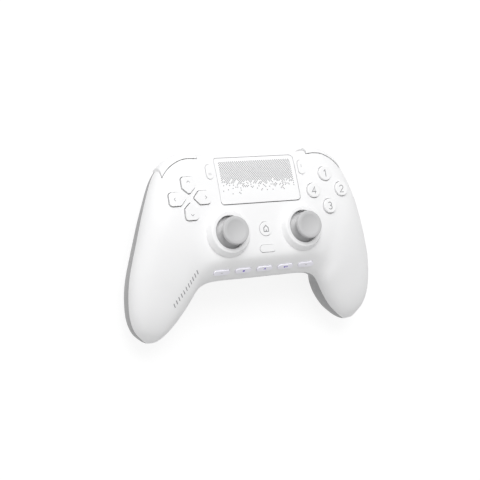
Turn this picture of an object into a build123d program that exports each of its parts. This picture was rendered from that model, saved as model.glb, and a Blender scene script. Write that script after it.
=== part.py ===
"""A gamepad controller as separate pieces: two shells, sticks, keys, triggers and what they hold inside.

Lengths are in millimetres. The model is drawn with X to the player's right, Y away from the player and
Z out of the face, with zero at the middle of the face. At the end all pieces are moved by one common step,
so that the origin is the middle of the underside of the bounding box.
"""
import os
from math import cos, hypot, radians

from build123d import *

# Whole body
HALF_WIDTH = 81.0        # middle to the widest point of a grip
BODY_LENGTH = 105.0      # end of the grips to the shoulder edge
BODY_DEPTH = 53.4        # face to the lowest point of a grip
WALL = 2.2               # thickness of both shells
SEAM_RISE = 0.3          # the seam runs this far above the widest line
SEAM_GAP = 0.15          # open seam between the shells
FIT = 0.3                # room between pieces that only pass each other
SNUG = 0.05              # radial room of a bearing or a guided shaft
OVERRUN = 80.0           # how far cutting tools run past what they cut

# Places, as shares of HALF_WIDTH (x), BODY_LENGTH (y) and, where a third stands, BODY_DEPTH (below the face)
PLACE_SHARES = {
    "stick_pivot": (0.3012, -0.0600, 0.2247),
    "cluster": (0.5691, 0.1438),
    "home_key": (0, -0.0533),
    "profile_key": (0, -0.1629),
    "menu_key": (0.3802, 0.2857),
    "front_key": (0, -0.2629),
    "touch_near_edge": (0, 0.0981),
    "touch_far_edge": (0, 0.3619),
    "bumper_inner_end": (0.4568, 0.3429),
    "bumper_outer_end": (0.7346, 0.3429),
    "bay_inner_wall": (0.4259, 0.2952),
    "bay_outer_wall": (0.7012, 0.3943),
    "frame_near_edge": (0, 0.0286),
    "frame_far_corner": (0.7222, 0.2810),
    "frame_ear": (0.3333, 0),
    "near_leg": (0.1481, 0.0952),
    "far_leg": (0.1481, 0.2571),
    "board_near_corner": (0.4506, -0.2286),
    "board_far_edge": (0, 0.3600),
    "battery_far_edge": (0, 0.2238, 0.4682),
    "near_pillar": (0, -0.1619),
    "far_pillar": (0, 0.1810),
    "motor": (0.7654, -0.2381, 0.5431),
    "upper_screw": (0.7716, -0.0095, 0.2528),
    "lower_screw": (0.8148, -0.4286, 0.2528),
}


def place(name):
    """One place in millimetres: x, y and, where the table gives it, the depth below the face."""
    return [share * whole for share, whole in zip(PLACE_SHARES[name], (HALF_WIDTH, BODY_LENGTH, BODY_DEPTH))]


# Thumb sticks
STICK_X, STICK_Y, STICK_PIVOT_DEPTH = place("stick_pivot")
WELL_RADIUS = 9.8        # bore of the collar
COLLAR_TOP_RADIUS = 12.0
COLLAR_FOOT_RADIUS = 13.8
COLLAR_SKIRT_RADIUS = 14.4  # below the foot, where the face falls away
COLLAR_HEIGHT = 3.2
COLLAR_SLEEVE = 1.2      # wall of the sleeve that sits in the shell's opening
COLLAR_SLEEVE_DEPTH = 1.1
COLLAR_LIP_DEPTH = 0.4   # face to the lip's lower edge; below it the collar is hollowed for the dome
COLLAR_ROUND = 0.8
DOME_WALL = 1.2
DOME_SPREAD = 65.0       # degrees from the stick's axis to the dome's rim
DOME_ROOM_RADIUS = hypot(WELL_RADIUS, STICK_PIVOT_DEPTH - COLLAR_LIP_DEPTH)
NECK_RADIUS = 3.2
CAP_RADIUS = 8.2
CAP_FOOT_RADIUS = 6.0
CAP_UNDERSIDE = 7.0      # above the face
CAP_HEIGHT = 2.9
CAP_DISH = 1.1           # depth of the thumb hollow
CAP_RIM = 2.1            # width of the rim round the hollow
CAP_TAPER = 1.0          # height of its conical underside
CAP_ROUND = 1.0
LEVER_RADIUS = 1.9
LEVER_TOP = 5.6          # above the face
PRESS_TRAVEL = 0.5
GIMBAL_PIN_RADIUS = 0.9
YOKE_HALF = 4.5
YOKE_WINDOW_HALF = 3.1
YOKE_HEIGHT = 2.4
LEVER_HUB_HALF = 2.6
HOUSING_HALF = 6.5
HOUSING_WALL = 1.2
HOUSING_RISE = 4.4       # pivot to the housing's roof
HOUSING_DROP = 4.0       # pivot to the board that it stands on
HOUSING_MOUTH_RADIUS = 4.7
SENSOR_LENGTH = 9.0
SENSOR_THICKNESS = 2.6
SENSOR_HEIGHT = 6.0

# Direction pad and face buttons share one build
CLUSTER_X, CLUSTER_Y = place("cluster")
BUTTON_SPREAD = 10.0     # cluster centre to button centre
BUTTON_RADIUS = 4.4
BUTTON_PROUD = 1.3
BUTTON_ROUND = 0.5
FLANGE_LIP = 0.9
FLANGE_THICKNESS = 1.0
FLANGE_ROOM = 0.7        # flange top to the inside of the shell
MAT_DEPTH = 7.2          # face to the top of the rubber mat
MAT_THICKNESS = 1.0
MAT_RADIUS = 15.3
BUBBLE_RADIUS = 3.0      # raised rubber bubble under each key
BUBBLE_ROOM = 0.1
PAD_TIP = 2.4            # cluster centre to the petals' points
PAD_SHOULDER = 6.0
PAD_END = 12.5
PAD_HALF_WIDTH = 3.9
PAD_ROUND = 1.1
PAD_OUTER_ROUND = 1.9
PAD_PROUD = 1.1
PAD_GAP = 0.45
PAD_ROOM = 1.5           # pad plate to the inside of the shell
PAD_PLATE = 1.6
PAD_PLATE_RADIUS = 13.3
PAD_BALL_RADIUS = 1.3
PAD_POST_RADIUS = 1.0
PAD_HUB_RADIUS = 2.4
PAD_HUB_ROOF = 0.5
PAD_CUP_GAP = 0.25       # from the ball's centre plane to the post and to the hub

# Small keys
HOME_Y = place("home_key")[1]
HOME_RADIUS = 4.1
PROFILE_Y = place("profile_key")[1]
PROFILE_LENGTH = 10.4
PROFILE_WIDTH = 4.2
MENU_X, MENU_Y = place("menu_key")
MENU_LENGTH = 8.7
MENU_WIDTH = 4.5
KEY_PITCH = 14.15
KEY_SIDE_COUNT = 2       # keys on each side of the middle one
KEY_Y = place("front_key")[1]
KEY_LENGTH = 10.3
KEY_WIDTH = 3.4
KEY_GAP = 0.2            # room round a small key
KEY_PROUD = 0.45
FRONT_KEY_PROUD = 0.8
KEY_LIP = 0.7
KEY_LIP_THICKNESS = 0.8
KEY_ROOM = 0.45          # lip to the inside of the shell
SWITCH_RADIUS = 1.7
SWITCH_ROOM = 0.6        # key to its switch: its stroke and a little more
KEY_SWITCH_HEIGHT = 1.0
KEY_BOARD_END = 4.7      # from the last key's middle to the end of the narrow board
KEY_BOARD_WIDTH = 4.6
KEY_POST_RADIUS = 0.9

# Touch plate
TOUCH_SIDE_GAP = 2.15    # from its side edges to the menu keys
TOUCH_HALF_WIDTH = MENU_X - MENU_WIDTH / 2 - TOUCH_SIDE_GAP
TOUCH_NEAR_Y = place("touch_near_edge")[1]
TOUCH_FAR_Y = place("touch_far_edge")[1]
TOUCH_CORNER = 2.0
TOUCH_SUNK = 0.15
TOUCH_NEAR_GAP = 0.6     # room at the edge that is pressed down
TOUCH_THICKNESS = 1.6
TOUCH_MARGIN = 2.2       # sensor board inside the plate's edge
BOARD_THICKNESS = 1.2

# Bumpers and triggers
BUMPER_IN, BUMPER_PIVOT_Y = place("bumper_inner_end")
BUMPER_OUT = place("bumper_outer_end")[0]
BUMPER_STRIP = 3.0       # from the shoulder's widest line back to the bumper's rear edge
BUMPER_DEPTH = 15.8      # face to the lower edge
BUMPER_PROUD = 1.3       # stands this far out of the shoulder
BUMPER_LOWER_GAP = 0.6
BUMPER_END_GAP = 0.6     # open notch at its inner end
BUMPER_UPPER_ROOM = 0.45  # behind the bumper in the front shell: it swings back when it is pressed
BUMPER_LOWER_ROOM = 0.9  # behind it in the rear shell, where it swings further
BUMPER_PIVOT_DEPTH = 2.5
TAPPET_IN = 3.0          # from the bumper's inner end
TAPPET_WIDTH = 4.0
TAPPET_TOP = 6.3         # clears the front shell's rounded inside
TAPPET_HEIGHT = 1.9
SHOULDER_SWITCH_LENGTH = 2.8
SHOULDER_SWITCH_ROOM = 0.3
TRIGGER_TOP_DEPTH = BUMPER_DEPTH + 4 * FIT
TRIGGER_PIVOT_DROP = 2.0  # from the trigger's top to its pin
TRIGGER_PIVOT_DEPTH = TRIGGER_TOP_DEPTH + TRIGGER_PIVOT_DROP
TRIGGER_DROP = 19.0      # from its pin to its tip
TRIGGER_REACH = 12.9     # pivot to the foremost bulge
TRIGGER_HEEL = 4.5       # pivot to the back of its heel
TRIGGER_INNER_ROOM = 2.4  # beside it in the bay, where the spring sits
TRIGGER_OUTER_ROOM = 0.8
TRIGGER_TAPER = 9.0      # how much narrower the tip is than the top
TRIGGER_CORNER = 9.0     # rounding of the outer front corner at the top
TRIGGER_TIP_CORNER = 7.0
CORNER_LIMIT_SHARE = 0.9  # most of the trigger's width that a corner takes
TRIGGER_LEAN = 2.0       # how far the tip's plan stands forward of the top's
TRIGGER_PIN_RADIUS = 1.5
BAY_IN, TRIGGER_PIVOT_Y = place("bay_inner_wall")
BAY_OUT, TRIGGER_FRONT_Y = place("bay_outer_wall")
BAY_BACK_Y = TRIGGER_PIVOT_Y - TRIGGER_HEEL - FIT
TRIGGER_IN = BAY_IN + TRIGGER_INNER_ROOM
TRIGGER_OUT = BAY_OUT - TRIGGER_OUTER_ROOM
BAY_WALL = 1.4
BAY_ROOF = 0.8           # how far its walls rise past the bumper's lower edge
BAY_KINK_DROP = 2.0      # below the pin
BAY_KNEE_DROP = 6.5
BAY_KNEE = 3.1           # how far the lower back wall stands forward
SPRING_WIRE = 0.9
SPRING_LENGTH = 1.9
SPRING_LEG = 6.0

# Inside
FRAME_DEPTH = 8.2        # face to the top of the middle frame
FRAME_THICKNESS = 1.6
FRAME_NEAR_Y = place("frame_near_edge")[1]
FRAME_HALF_WIDTH, FRAME_FAR_Y = place("frame_far_corner")
FRAME_STRIP_HALF = 10.2
FRAME_EDGE = 0.4         # frame round the switches at its edges
FRAME_STRIP_NEAR_Y = PROFILE_Y - SWITCH_RADIUS - FRAME_EDGE
FRAME_EAR_IN = place("frame_ear")[0]
FRAME_EAR_FAR_Y = CLUSTER_Y + MAT_RADIUS + FIT + SHOULDER_SWITCH_LENGTH
FRAME_EAR_OUT = BUMPER_IN + TAPPET_IN + TAPPET_WIDTH + 3 * FRAME_EDGE
SEAT_HEIGHT = 3.4        # height of the tilted seats under the mats
LEG_RADIUS = 2.0
BOARD_DEPTH = STICK_PIVOT_DEPTH + HOUSING_DROP  # face to the top of the main board
MAIN_BOARD_THICKNESS = 1.6
BOARD_BAY_GAP = 2.1      # between the board and the walls of the trigger bays
BOARD_HALF_WIDTH, BOARD_NEAR_Y = place("board_near_corner")
BOARD_MIDDLE_Y = BAY_BACK_Y - BAY_WALL - BOARD_BAY_GAP
BOARD_FAR_HALF_WIDTH = BAY_IN - BAY_WALL - BOARD_BAY_GAP
BOARD_FAR_Y = place("board_far_edge")[1]
BATTERY_LENGTH = 50.0
BATTERY_ROOM = 1.0       # between the battery and the board above it
BATTERY_JACK_GAP = 1.2   # between its tray and the headset socket
BATTERY_ROUND = 1.2
_, BATTERY_FAR_Y, TRAY_DEPTH = place("battery_far_edge")
BATTERY_HEIGHT = TRAY_DEPTH - BOARD_DEPTH - MAIN_BOARD_THICKNESS - BATTERY_ROOM
TRAY_RIB = 1.6
TRAY_LIP = 3.0           # height of the tray's rim beside the battery
PILLAR_RADIUS = 2.6
PILLAR_GAP = 1.65        # between the tray and the pillars
PILLAR_X = BATTERY_LENGTH / 2 + FIT / 2 + TRAY_RIB + PILLAR_GAP + PILLAR_RADIUS
MOTOR_RADIUS = 9.5
MOTOR_LENGTH = 12.0
MOTOR_X, MOTOR_Y, MOTOR_DEPTH = place("motor")
MOTOR_ROUND = 0.8
CRADLE_WEB = 2.0
CRADLE_HALF_WIDTH = 9.0
CRADLE_TOP = 3.0         # below the motor's axis
MOTOR_SHAFT_RADIUS = 1.0
WEIGHT_RADIUS = 7.8
WEIGHT_THICKNESS = 4.0
WEIGHT_GAP = 1.2
WEIGHT_HUB_RADIUS = 2.2
JACK_HALF_HEIGHT = 2.8
JACK_DEPTH = BOARD_DEPTH + MAIN_BOARD_THICKNESS + JACK_HALF_HEIGHT
JACK_BORE = 3.6
JACK_NOSE_RADIUS = 3.0
JACK_NOSE_LENGTH = 3.4
JACK_HALF_WIDTH = 3.2
JACK_LENGTH = 13.0
JACK_BORE_LENGTH = 14.5
JACK_SET_BACK = 0.5
PORT_WIDTH = 9.0
PORT_HEIGHT = 3.2
PORT_LENGTH = 7.5
PORT_WALL = 0.35
PORT_CORNER = 1.3
PORT_TONGUE = 0.7
PORT_SET_BACK = 0.6
SCREW_RADIUS = 1.1
SCREW_HEAD_RADIUS = 2.1
SCREW_HEAD_HEIGHT = 1.4
SCREW_SLOT = 0.6
SCREW_BITE = 5.0         # length of thread in the front post
SCREW_SEAT = 1.5         # plastic under the screw's head
POST_RADIUS = 3.3

BOTTOM = (Align.CENTER, Align.CENTER, Align.MIN)
pieces = {}
joints = {}

# The outer form: one row for each station from the middle to the tip of a grip. Columns: inner end of the
# section (x, y, z), outer end (x, y, z), crown above and belly below the line between them, how much of the
# top follows the flat face with its key band, and the roundness of the top and of the bottom. x is in shares
# of HALF_WIDTH, y of BODY_LENGTH, z and the heights of BODY_DEPTH.
STATION_SHARES = (
    (0.000, -0.302, -0.290, 0.000, 0.390, -0.234, 0.266, 0.281, 1.00, 3.0, 3.2),
    (0.173, -0.302, -0.290, 0.185, 0.390, -0.234, 0.266, 0.281, 1.00, 3.0, 3.2),
    (0.321, -0.302, -0.294, 0.383, 0.392, -0.234, 0.268, 0.281, 0.95, 3.0, 3.0),
    (0.415, -0.308, -0.324, 0.586, 0.393, -0.234, 0.275, 0.290, 0.60, 2.8, 2.6),
    (0.477, -0.326, -0.363, 0.747, 0.313, -0.230, 0.279, 0.328, 0.20, 2.4, 2.3),
    (0.514, -0.354, -0.397, 0.852, 0.143, -0.240, 0.266, 0.403, 0.00, 2.35, 2.15),
    (0.546, -0.390, -0.434, 0.928, -0.057, -0.318, 0.249, 0.487, 0.00, 2.6, 2.05),
    (0.591, -0.442, -0.485, 0.988, -0.248, -0.419, 0.219, 0.510, 0.00, 2.6, 1.92),
    (0.657, -0.505, -0.543, 0.996, -0.410, -0.512, 0.185, 0.425, 0.00, 2.6, 1.90),
    (0.731, -0.559, -0.579, 0.965, -0.509, -0.569, 0.127, 0.291, 0.00, 2.5, 1.92),
    (0.785, -0.586, -0.610, 0.905, -0.567, -0.607, 0.064, 0.141, 0.00, 2.2, 2.0),
    (0.815, -0.592, -0.629, 0.870, -0.588, -0.618, 0.022, 0.041, 0.00, 2.0, 2.0),
)
TOP_SHARES = (0, 0.012, 0.05, 0.1, 0.14, 0.18, 0.26, 0.4, 0.6, 0.8, 0.92, 0.975, 0.994, 1)
FACE_SHARES = (0, 0.18, 0.433, 0.746, 0.915, 0.973, 1, 1, 0.965, 0.845, 0.743, 0.62, 0.46, 0)
BELLY_SHARES = (1, 0.99, 0.95, 0.86, 0.7, 0.5, 0.3, 0.14, 0.05, 0.01, 0)
STEPS = 3                # lofted sections for each station
MASTER_STATION = 5       # its spacing of points serves all sections
HOLLOW_END = 2           # stations at each grip's tip that stay solid
SEAM_CROWN_SHARE = 0.3   # near the tip the seam rises no more than this share of the crown


def station(index):
    """One row in millimetres; rows past the middle are mirrored, so the form runs smoothly across it."""
    xi, yi, zi, xo, yo, zo, crown, belly, face, top, bottom = STATION_SHARES[abs(index)]
    side = -1 if index < 0 else 1
    return (side * xi * HALF_WIDTH, yi * BODY_LENGTH, zi * BODY_DEPTH,
            side * xo * HALF_WIDTH, yo * BODY_LENGTH, zo * BODY_DEPTH,
            crown * BODY_DEPTH, belly * BODY_DEPTH, face, top, bottom)


def extend(last, before):
    """The row that follows two rows in a straight line."""
    return tuple(2 * a - b for a, b in zip(last, before))


def smooth_row(place):
    """The row at a place between stations, on a Catmull-Rom curve through the four stations round it."""
    end = len(STATION_SHARES) - 1
    index = min(int(place), end - 1)
    f = place - index
    a, b, c = station(index - 1), station(index), station(index + 1)
    d = station(index + 2) if index + 2 <= end else extend(c, b)
    return tuple((2 * q + (r - p) * f + (2 * p - 5 * q + 4 * r - s) * f ** 2
                  + (3 * q - p - 3 * r + s) * f ** 3) / 2 for p, q, r, s in zip(a, b, c, d))


def hump(t, power):
    """Height share of a rounded section at share t of its width."""
    return max(0, 1 - abs(2 * t - 1) ** power) ** (1 / power)


def outline(row):
    """Top and bottom of one section as lists of (share along the section, height)."""
    crown, belly, face, top, bottom = row[6:]
    upper = [(t, crown * (face * f + (1 - face) * hump(t, top))) for t, f in zip(TOP_SHARES, FACE_SHARES)]
    lower = [(t, -belly * hump(t, bottom)) for t in BELLY_SHARES]
    return upper, lower


def spacing(points, width):
    """Places of the points along the polygon through them, from 0 to 1."""
    run = [0]
    for (t0, s0), (t1, s1) in zip(points, points[1:]):
        run.append(run[-1] + hypot((t1 - t0) * width, s1 - s0))
    return [place / run[-1] for place in run]


def section(row, inset):
    """The closed outline of one section, moved inward by the inset."""
    inner, outer = Vector(*row[0:3]), Vector(*row[3:6])
    across = Vector(outer.X - inner.X, outer.Y - inner.Y, 0).normalized()
    up = Vector(0, 0, 1)
    edges = []
    for half, places in zip(outline(row), MASTER_SPACING):
        points = [inner + (outer - inner) * t + up * s for t, s in half]
        moved = []
        for k, point in enumerate(points):
            if k in (0, len(points) - 1):
                inward = across if half[k][0] == 0 else across * -1
            else:
                step = points[k + 1] - points[k - 1]
                inward = (across * step.Z - up * step.dot(across)) * (1 / hypot(step.Z, step.dot(across)))
            moved.append(point + inward * inset)
        edges.append(Edge.make_spline(moved, parameters=places))
    return Wire(edges)


def mirror_row(row):
    """The same row on the left side."""
    return (-row[0], *row[1:3], -row[3], *row[4:])


master = station(MASTER_STATION)
master_width = hypot(master[3] - master[0], master[4] - master[1])
MASTER_SPACING = [spacing(half, master_width) for half in outline(master)]
rows = [smooth_row(k / STEPS) for k in range(STEPS * (len(STATION_SHARES) - 1) + 1)]


def body_form(inset=0, solid_end=0):
    """The body as one smooth loft from the left grip's tip to the right one's, moved inward by the inset."""
    used = rows[:len(rows) - solid_end * STEPS]
    return Solid.make_loft([section(mirror_row(row), inset) for row in reversed(used[1:])]
                           + [section(row, inset) for row in used])


def above_seam():
    """Everything above the seam: a loft of upright frames whose lower edges follow the widest line."""
    margin = WALL + SEAM_RISE
    wires = []
    reach = rows + [extend(rows[-1], rows[-2])]
    for row in [mirror_row(row) for row in reversed(reach[1:])] + reach:
        inner, outer = Vector(*row[0:3]), Vector(*row[3:6])
        out = (outer - inner).normalized() * margin
        rise = Vector(0, 0, min(SEAM_RISE, max(row[6], 0) * SEAM_CROWN_SHARE))
        low = [inner - out + rise, outer + out + rise]
        high = [Vector(p.X, p.Y, OVERRUN) for p in reversed(low)]
        wires.append(Wire.make_polygon(low + high, close=True))
    return Solid.make_loft(wires)


def block(x0, x1, y0, y1, z0, z1):
    """A box between two corners."""
    return Pos((x0 + x1) / 2, (y0 + y1) / 2, (z0 + z1) / 2) * Box(abs(x1 - x0), abs(y1 - y0), abs(z1 - z0))


def disc(frame, low, high, radius):
    """A cylinder on a frame's axis, from one height to another."""
    return frame.location * Pos(0, 0, low) * Cylinder(radius, high - low, align=BOTTOM)


def cone(frame, low, high, low_radius, high_radius):
    """A cone on a frame's axis, from one height to another."""
    return frame.location * Pos(0, 0, low) * Cone(low_radius, high_radius, high - low, align=BOTTOM)


def bar_x(x0, x1, y, z, radius):
    """A round bar along X."""
    return disc(Plane(origin=(x0, y, z), z_dir=(1, 0, 0)), 0, x1 - x0, radius)


def prism(frame, sketch, low, high):
    """A sketch extruded on a frame from one height to another."""
    return extrude(frame.offset(low) * sketch, amount=high - low)


def both(name, right):
    """Files a piece for the right side and its mirror image for the left."""
    pieces["right_" + name] = right
    pieces["left_" + name] = right.mirror(Plane.YZ)


def skin(x, y):
    """The point of the face at a place, and the way it looks there."""
    hits = form.find_intersection_points(Axis((x, y, OVERRUN), (0, 0, -1)))
    point, normal = max(hits, key=lambda hit: hit[0].Z)
    return point, (normal if normal.Z > 0 else normal * -1)


def joint(name, point, direction):
    """Files a joint's anchor and axis, for both sides where the name asks for it."""
    joints[name] = (Vector(*point), Vector(*direction))


form = body_form()
hollow = body_form(WALL, HOLLOW_END)
core = body_form(WALL + FIT, HOLLOW_END)
upper_space = above_seam()

front_cuts = []          # openings in the front shell
front_posts = []         # posts that hang from the front shell
rear_cuts = []
rear_ribs = []           # walls and posts that stand in the rear shell


def thumb_stick():
    """One stick at the right: collar, cap, stem, and the gimbal under it."""
    axis = Plane(origin=(STICK_X, STICK_Y, 0))
    pivot = Plane(origin=(STICK_X, STICK_Y, -STICK_PIVOT_DEPTH))
    seat = skin(STICK_X, STICK_Y)[0].Z
    sleeve_radius = WELL_RADIUS + COLLAR_SLEEVE
    dome_room = pivot.location * Sphere(DOME_ROOM_RADIUS)
    ring = cone(axis, seat, COLLAR_HEIGHT, COLLAR_FOOT_RADIUS, COLLAR_TOP_RADIUS)
    ring += cone(axis, seat - COLLAR_HEIGHT, seat, COLLAR_SKIRT_RADIUS, COLLAR_FOOT_RADIUS)
    ring = fillet(ring.edges().group_by(Axis.Z)[-1], COLLAR_ROUND)
    ring = ring - form + disc(axis, -COLLAR_SLEEVE_DEPTH, COLLAR_HEIGHT / 2, sleeve_radius)
    ring -= dome_room + disc(axis, -OVERRUN, OVERRUN, WELL_RADIUS)
    both("stick_ring", ring)
    for cut in (disc(axis, -OVERRUN, OVERRUN, sleeve_radius + SNUG), dome_room):
        front_cuts.extend([cut, cut.mirror(Plane.YZ)])

    # The dome fills the well: it turns just under the collar's lip when the stick tilts
    dome_radius = DOME_ROOM_RADIUS - FIT
    dome = pivot.location * (Sphere(dome_radius) - Sphere(dome_radius - DOME_WALL))
    rim = dome_radius * cos(radians(DOME_SPREAD))
    dome &= disc(pivot, rim, OVERRUN, OVERRUN)
    neck_foot = -STICK_PIVOT_DEPTH + dome_radius - DOME_WALL / 2
    stem = dome + disc(axis, neck_foot, CAP_UNDERSIDE, NECK_RADIUS)
    stem -= disc(axis, -STICK_PIVOT_DEPTH, LEVER_TOP + PRESS_TRAVEL + SNUG, LEVER_RADIUS + SNUG)
    both("stick_stem", stem)

    cap = cone(axis, CAP_UNDERSIDE, CAP_UNDERSIDE + CAP_TAPER, CAP_FOOT_RADIUS, CAP_RADIUS)
    cap += disc(axis, CAP_UNDERSIDE + CAP_TAPER, CAP_UNDERSIDE + CAP_HEIGHT, CAP_RADIUS)
    cap = fillet(cap.edges().group_by(Axis.Z)[-1], CAP_ROUND)
    dish_edge = CAP_RADIUS - CAP_RIM
    dish_radius = (dish_edge ** 2 + CAP_DISH ** 2) / (2 * CAP_DISH)
    cap -= Pos(STICK_X, STICK_Y, CAP_UNDERSIDE + CAP_HEIGHT - CAP_DISH + dish_radius) * Sphere(dish_radius)
    both("stick_cap", cap)

    lever = disc(pivot, 0, STICK_PIVOT_DEPTH + LEVER_TOP, LEVER_RADIUS)
    hub = Box(2 * LEVER_HUB_HALF, 2 * LEVER_HUB_HALF, YOKE_HEIGHT)
    pin = Cylinder(GIMBAL_PIN_RADIUS, 2 * (YOKE_HALF - SNUG))
    lever += pivot.location * (hub + Rot(90, 0, 0) * pin)
    both("stick_lever", lever)

    yoke = Box(2 * YOKE_HALF, 2 * YOKE_HALF, YOKE_HEIGHT)
    yoke -= Box(2 * YOKE_WINDOW_HALF, 2 * YOKE_WINDOW_HALF, YOKE_HEIGHT)
    yoke -= Rot(90, 0, 0) * Cylinder(GIMBAL_PIN_RADIUS + SNUG, 4 * YOKE_HALF)
    axle = Rot(0, 90, 0) * Cylinder(GIMBAL_PIN_RADIUS, 2 * (HOUSING_HALF - SNUG))
    axle -= Box(2 * YOKE_WINDOW_HALF, 2 * YOKE_WINDOW_HALF, YOKE_HEIGHT)
    both("stick_yoke", pivot.location * (yoke + axle))

    board, top = -BOARD_DEPTH, HOUSING_RISE - STICK_PIVOT_DEPTH
    x0, x1 = STICK_X - HOUSING_HALF, STICK_X + HOUSING_HALF
    y0, y1 = STICK_Y - HOUSING_HALF, STICK_Y + HOUSING_HALF
    wall = HOUSING_WALL
    housing = block(x0, x1, y0, y1, board, top)
    housing -= block(x0 + wall, x1 - wall, y0 + wall, y1 - wall, board + wall, top - wall)
    housing -= disc(axis, top - 2 * wall, top + wall, HOUSING_MOUTH_RADIUS)
    housing += block(x1, x1 + SENSOR_THICKNESS, STICK_Y - SENSOR_LENGTH / 2, STICK_Y + SENSOR_LENGTH / 2,
                     board, board + SENSOR_HEIGHT)
    housing += block(STICK_X - SENSOR_LENGTH / 2, STICK_X + SENSOR_LENGTH / 2, y0 - SENSOR_THICKNESS, y0,
                     board, board + SENSOR_HEIGHT)
    housing -= bar_x(x0 - wall, x1 + wall, STICK_Y, -STICK_PIVOT_DEPTH, GIMBAL_PIN_RADIUS + SNUG)
    both("stick_housing", housing)
    joint("stick", (STICK_X, STICK_Y, -STICK_PIVOT_DEPTH), (1, 0, 0))


def cluster_frame():
    """The plane that carries four keys at the right: it looks the way the face looks at them on average."""
    point = skin(CLUSTER_X, CLUSTER_Y)[0]
    normal = sum((skin(CLUSTER_X + u * BUTTON_SPREAD, CLUSTER_Y + v * BUTTON_SPREAD)[1]
                  for u, v in compass()), Vector(0, 0, 0)).normalized()
    across = Vector(1, 0, 0)
    return Plane(origin=point, x_dir=across - normal * across.dot(normal), z_dir=normal)


def rubber_mat(frame, bubbles, hole):
    """A rubber mat below a cluster: a round sheet with a bubble under each key."""
    low = -MAT_DEPTH - MAT_THICKNESS
    mat = disc(frame, low, -MAT_DEPTH, MAT_RADIUS)
    for place, height in bubbles:
        spot = Plane(frame.from_local_coords(Vector(*place, 0)), x_dir=frame.x_dir, z_dir=frame.z_dir)
        mat += cone(spot, -MAT_DEPTH - MAT_THICKNESS / 2, height, BUBBLE_RADIUS, BUBBLE_RADIUS / 2)
    if hole:
        mat -= disc(frame, low - MAT_THICKNESS, OVERRUN, hole)
    return mat


def compass():
    """The four directions of a cluster: far, right, near and left."""
    return [(0, 1), (1, 0), (0, -1), (-1, 0)]


def face_buttons():
    """Four round keys with a lip inside the shell, on a rubber mat."""
    frame = cluster_frame()
    bubbles = []
    for name, (u, v) in zip(("top", "right", "bottom", "left"), compass()):
        spot = frame.from_local_coords(Vector(u * BUTTON_SPREAD, v * BUTTON_SPREAD, 0))
        spot = skin(spot.X, spot.Y)[0]
        local = Plane(origin=spot, x_dir=frame.x_dir, z_dir=frame.z_dir)
        lip_top = -WALL - FLANGE_ROOM
        lip_low = lip_top - FLANGE_THICKNESS
        key = disc(local, lip_top, BUTTON_PROUD, BUTTON_RADIUS)
        key = fillet(key.edges().sort_by(Axis(spot, frame.z_dir))[-1], BUTTON_ROUND)
        key += disc(local, lip_low, lip_top, BUTTON_RADIUS + FLANGE_LIP) & core
        pieces["face_button_" + name] = key
        front_cuts.append(disc(local, -WALL * 2, OVERRUN, BUTTON_RADIUS + FIT))
        drop = frame.to_local_coords(spot)
        bubbles.append(((drop.X, drop.Y), drop.Z + lip_low - BUBBLE_ROOM))
        joint("face_button_" + name, spot, frame.z_dir * -1)
    pieces["right_button_mat"] = rubber_mat(frame, bubbles, None)


def petal(u, v):
    """The outline of one petal of the direction pad, pointing at the cluster's centre."""
    side = PAD_HALF_WIDTH
    points = [(PAD_TIP, 0), (PAD_SHOULDER, side), (PAD_END, side), (PAD_END, -side), (PAD_SHOULDER, -side)]
    turned = [(a * u - b * v, a * v + b * u) for a, b in points]
    face = make_face(Polyline(turned, close=True))
    face = fillet(face.vertices().sort_by_distance((0, 0, 0))[:3], PAD_ROUND)
    return fillet(face.vertices().sort_by_distance((0, 0, 0))[-2:], PAD_OUTER_ROUND)


def direction_pad():
    """Four petals on one plate, which rocks on a small ball above the middle frame, drawn at the right."""
    frame = cluster_frame()
    plate_top = -WALL - PAD_ROOM
    plate_low = plate_top - PAD_PLATE
    centre = (plate_top + plate_low) / 2
    ball = Plane(frame.from_local_coords(Vector(0, 0, centre)), x_dir=frame.x_dir, z_dir=frame.z_dir)
    lifted = form.moved(Location(frame.z_dir * PAD_PROUD))
    pad = disc(frame, plate_low, plate_top, PAD_PLATE_RADIUS) & core.moved(Location(frame.z_dir * -PAD_ROOM))
    for u, v in compass():
        shape = petal(u, v)
        pad += prism(frame, shape, (plate_low + plate_top) / 2, 2 * PAD_PROUD) & lifted
        front_cuts.append(prism(frame, offset(shape, PAD_GAP), -WALL * 2, OVERRUN).mirror(Plane.YZ))
    pad += disc(ball, PAD_CUP_GAP, PAD_BALL_RADIUS + PAD_HUB_ROOF, PAD_HUB_RADIUS)
    pad -= disc(ball, -PAD_PLATE, PAD_CUP_GAP, PAD_HUB_RADIUS)
    pad -= ball.location * Sphere(PAD_BALL_RADIUS + SNUG)
    pieces["dpad"] = pad.mirror(Plane.YZ)
    pieces["dpad_pivot"] = (ball.location * Sphere(PAD_BALL_RADIUS)).mirror(Plane.YZ)
    bubbles = [((u * BUTTON_SPREAD, v * BUTTON_SPREAD), plate_low - BUBBLE_ROOM) for u, v in compass()]
    pieces["left_button_mat"] = rubber_mat(frame, bubbles, PAD_HUB_RADIUS).mirror(Plane.YZ)
    post = disc(ball, -MAT_DEPTH - SEAT_HEIGHT - centre, -PAD_CUP_GAP, PAD_POST_RADIUS)
    post -= ball.location * Sphere(PAD_BALL_RADIUS + SNUG)
    joint("dpad", ball.origin, (1, 0, 0))
    return post.mirror(Plane.YZ)


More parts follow.
